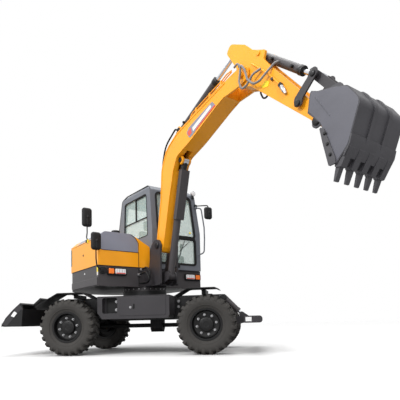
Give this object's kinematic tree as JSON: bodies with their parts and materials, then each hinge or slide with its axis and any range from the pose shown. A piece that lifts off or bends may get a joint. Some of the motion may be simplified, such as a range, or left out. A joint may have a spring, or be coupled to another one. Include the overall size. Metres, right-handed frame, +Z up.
{
  "type": "wheeled excavator",
  "caption": "Wheeled excavator with a glazed cab, raised boom, arm and toothed bucket, a dozer blade and a stabilizer bar, on rubber tyres.",
  "frame": {"origin": "on the ground under the slewing axis", "axes": "+X along the undercarriage towards the stabilizer, +Y to its left, +Z up"},
  "size_m": [5.0799, 4.5038, 3.7565],
  "materials": {
    "amber_paint": "semi-gloss amber yellow paint",
    "grey_paint": "satin dark grey paint",
    "hood_grey": "satin mid grey paint",
    "cab_grey": "satin grey cab paint",
    "black_paint": "satin black paint",
    "bucket_grey": "worn satin grey paint",
    "tyre_rubber": "matt tyre rubber",
    "rim_black": "gloss black rim paint",
    "rod_chrome": "polished chrome",
    "cast_black": "painted cast iron",
    "cab_glass": "pale green safety glass",
    "seat_fabric": "dark grey cloth",
    "trim_plastic": "matt black plastic",
    "lamp_plastic": "clear and orange lamp lenses",
    "engine_iron": "engine and tank block"
  },
  "bodies": {
    "chassis": {"chassis_frame": "black_paint", "slew_ring": "black_paint", "side_boxes": "grey_paint", "fenders": "black_paint", "driveline": "cast_black", "steered_axle": "cast_black", "rigid_axle": "cast_black"},
    "superstructure": {"upper_frame": "grey_paint", "boom_bracket": "grey_paint", "counterweight": "grey_paint", "engine_block": "engine_iron", "hood_lower": "amber_paint", "hood_upper": "hood_grey", "cab_shell": "cab_grey", "cab_glass": "cab_glass", "seat": "seat_fabric", "console": "trim_plastic", "lamps": "lamp_plastic", "mirrors": "trim_plastic", "handrails": "black_paint"},
    "engine_cover": {"engine_cover": "amber_paint"},
    "cab_door": {"cab_door": "cab_grey", "door_glass": "cab_glass"},
    "boom": {"boom": "amber_paint"},
    "boom_cylinder_barrel": {"boom_cylinder_barrel": "black_paint"},
    "boom_cylinder_rod": {"boom_cylinder_rod": "rod_chrome", "boom_rod_guard": "grey_paint"},
    "arm": {"arm": "amber_paint"},
    "arm_cylinder_barrel": {"arm_cylinder_barrel": "black_paint"},
    "arm_cylinder_rod": {"arm_cylinder_rod": "rod_chrome"},
    "bucket_cylinder_barrel": {"bucket_cylinder_barrel": "black_paint"},
    "bucket_cylinder_rod": {"bucket_cylinder_rod": "rod_chrome"},
    "rockers": {"rockers": "black_paint"},
    "bucket_link": {"bucket_link": "black_paint"},
    "bucket": {"bucket": "bucket_grey"},
    "blade": {"dozer_blade": "black_paint"},
    "blade_cylinder_barrel": {"blade_cylinder_barrel": "black_paint"},
    "blade_cylinder_rod": {"blade_cylinder_rod": "rod_chrome"},
    "stabilizer": {"stabilizer": "black_paint"},
    "stabilizer_cylinder_barrel": {"stabilizer_cylinder_barrel": "black_paint"},
    "stabilizer_cylinder_rod": {"stabilizer_cylinder_rod": "rod_chrome"},
    "steering_rod": {"steering_rod": "rod_chrome"},
    "knuckle_left": {"knuckle_left": "cast_black"},
    "knuckle_right": {"knuckle_right": "cast_black"},
    "wheel_steered_left": {"tyre_steered_left": "tyre_rubber", "rim_steered_left": "rim_black"},
    "wheel_steered_right": {"tyre_steered_right": "tyre_rubber", "rim_steered_right": "rim_black"},
    "wheel_rigid_left": {"tyre_rigid_left": "tyre_rubber", "rim_rigid_left": "rim_black"},
    "wheel_rigid_right": {"tyre_rigid_right": "tyre_rubber", "rim_rigid_right": "rim_black"}
  },
  "joints": [
    {"name": "slew", "type": "hinge", "parent": "chassis", "child": "superstructure", "pos_m": [0, 0, 0.95], "axis": [0, 0, 1], "continuous": true},
    {"name": "boom_lift", "type": "hinge", "parent": "superstructure", "child": "boom", "pos_m": [0.47746, -0.48418, 1.6], "axis": [-0.712, -0.7022, 0], "range_deg": [-95, 6]},
    {"name": "boom_cylinder_swing", "type": "hinge", "parent": "superstructure", "child": "boom_cylinder_barrel", "pos_m": [0.54768, -0.55538, 1.14], "axis": [-0.712, -0.7022, 0], "range_deg": [-82.85, 5.42]},
    {"name": "boom_cylinder_stroke", "type": "slide", "parent": "boom_cylinder_barrel", "child": "boom_cylinder_rod", "axis": [0.1797, -0.1823, 0.9667], "range_m": [-0.6151, 0.0398]},
    {"name": "arm_swing", "type": "hinge", "parent": "boom", "child": "arm", "pos_m": [1.79049, -1.81567, 3.27], "axis": [0.712, 0.7022, 0], "range_deg": [-40, 60]},
    {"name": "arm_cylinder_swing", "type": "hinge", "parent": "boom", "child": "arm_cylinder_barrel", "pos_m": [0.81801, -0.82951, 3.205], "axis": [-0.712, -0.7022, 0], "range_deg": [-3.37, 2.31]},
    {"name": "arm_cylinder_stroke", "type": "slide", "parent": "arm_cylinder_barrel", "child": "arm_cylinder_rod", "axis": [0.6471, -0.6562, 0.3882], "range_m": [-0.3052, 0.4573]},
    {"name": "bucket_curl", "type": "hinge", "parent": "arm", "child": "bucket", "pos_m": [2.4786, -2.51345, 2.31], "axis": [-0.712, -0.7022, 0], "range_deg": [-65, 40]},
    {"name": "bucket_cylinder_swing", "type": "hinge", "parent": "arm", "child": "bucket_cylinder_barrel", "pos_m": [1.96603, -1.99367, 3.4], "axis": [-0.712, -0.7022, 0], "range_deg": [-3.12, 2]},
    {"name": "bucket_cylinder_stroke", "type": "slide", "parent": "bucket_cylinder_barrel", "child": "bucket_cylinder_rod", "axis": [0.5316, -0.539, -0.6533], "range_m": [-0.178, 0.2887]},
    {"name": "rocker_swing", "type": "hinge", "parent": "arm", "child": "rockers", "pos_m": [2.34519, -2.37817, 2.56], "axis": [-0.712, -0.7022, 0], "range_deg": [-65.2, 40.2]},
    {"name": "link_swing", "type": "hinge", "parent": "rockers", "child": "bucket_link", "pos_m": [2.4786, -2.51345, 2.77], "axis": [-0.712, -0.7022, 0], "range_deg": [-35.6, 57.73]},
    {"name": "blade_lift", "type": "hinge", "parent": "chassis", "child": "blade", "pos_m": [-1.25, 0, 0.56], "axis": [0, 1, 0], "range_deg": [-46, 8]},
    {"name": "blade_cylinder_swing", "type": "hinge", "parent": "chassis", "child": "blade_cylinder_barrel", "pos_m": [-1.235, 0, 0.8], "axis": [0, 1, 0], "range_deg": [-30.2, 5.42]},
    {"name": "blade_cylinder_stroke", "type": "slide", "parent": "blade_cylinder_barrel", "child": "blade_cylinder_rod", "axis": [-0.9424, 0, -0.3344], "range_m": [-0.0282, 0.1575]},
    {"name": "stabilizer_lift", "type": "hinge", "parent": "chassis", "child": "stabilizer", "pos_m": [1.24, 0, 0.4], "axis": [0, -1, 0], "range_deg": [-42, 3]},
    {"name": "stabilizer_cylinder_swing", "type": "hinge", "parent": "chassis", "child": "stabilizer_cylinder_barrel", "pos_m": [1.29, 0, 0.84], "axis": [0, -1, 0], "range_deg": [-14.85, 1.25]},
    {"name": "stabilizer_cylinder_stroke", "type": "slide", "parent": "stabilizer_cylinder_barrel", "child": "stabilizer_cylinder_rod", "axis": [0.6941, 0, -0.7198], "range_m": [-0.0174, 0.23]},
    {"name": "steer_left", "type": "hinge", "parent": "chassis", "child": "knuckle_left", "pos_m": [1.097, 0.6, 0.415], "axis": [0, 0, 1], "range_deg": [-30, 30]},
    {"name": "steer_right", "type": "hinge", "parent": "chassis", "child": "knuckle_right", "pos_m": [1.097, -0.6, 0.415], "axis": [0, 0, 1], "range_deg": [-30.2, 30.2]},
    {"name": "steering_rod_slide", "type": "slide", "parent": "chassis", "child": "steering_rod", "axis": [0, 1, 0], "range_m": [-0.09, 0.09]},
    {"name": "wheel_steered_left", "type": "hinge", "parent": "knuckle_left", "child": "wheel_steered_left", "pos_m": [1.097, 0.767, 0.415], "axis": [0, 1, 0], "continuous": true},
    {"name": "wheel_rigid_left", "type": "hinge", "parent": "chassis", "child": "wheel_rigid_left", "pos_m": [-0.943, 0.767, 0.415], "axis": [0, 1, 0], "continuous": true},
    {"name": "wheel_steered_right", "type": "hinge", "parent": "knuckle_right", "child": "wheel_steered_right", "pos_m": [1.097, -0.767, 0.415], "axis": [0, 1, 0], "continuous": true},
    {"name": "wheel_rigid_right", "type": "hinge", "parent": "chassis", "child": "wheel_rigid_right", "pos_m": [-0.943, -0.767, 0.415], "axis": [0, 1, 0], "continuous": true},
    {"name": "cab_door_swing", "type": "hinge", "parent": "superstructure", "child": "cab_door", "pos_m": [0.19797, 1.11092, 1.5], "axis": [0, 0, 1], "range_deg": [0, 100]},
    {"name": "engine_cover_lift", "type": "hinge", "parent": "superstructure", "child": "engine_cover", "pos_m": [-0.60947, 0.61804, 1.774], "axis": [0.712, 0.7022, 0], "range_deg": [0, 55]}
  ],
  "couplings": [
    {"joint": "boom_cylinder_swing", "follows": "boom_lift", "ratio": 0.87},
    {"joint": "boom_cylinder_stroke", "follows": "boom_lift", "m_per_rad": 0.3704},
    {"joint": "arm_cylinder_swing", "follows": "arm_swing", "ratio": -0.0528},
    {"joint": "arm_cylinder_stroke", "follows": "arm_swing", "m_per_rad": 0.4357},
    {"joint": "bucket_cylinder_swing", "follows": "bucket_curl", "ratio": 0.045},
    {"joint": "bucket_cylinder_stroke", "follows": "bucket_curl", "m_per_rad": -0.2536},
    {"joint": "rocker_swing", "follows": "bucket_curl", "ratio": 1},
    {"joint": "link_swing", "follows": "bucket_curl", "ratio": -0.885},
    {"joint": "blade_cylinder_swing", "follows": "blade_lift", "ratio": 0.6522},
    {"joint": "blade_cylinder_stroke", "follows": "blade_lift", "m_per_rad": -0.1949},
    {"joint": "stabilizer_cylinder_swing", "follows": "stabilizer_lift", "ratio": 0.3489},
    {"joint": "stabilizer_cylinder_stroke", "follows": "stabilizer_lift", "m_per_rad": -0.3124},
    {"joint": "steer_right", "follows": "steer_left", "ratio": 1},
    {"joint": "steering_rod_slide", "follows": "steer_left", "m_per_rad": -0.17}
  ]
}
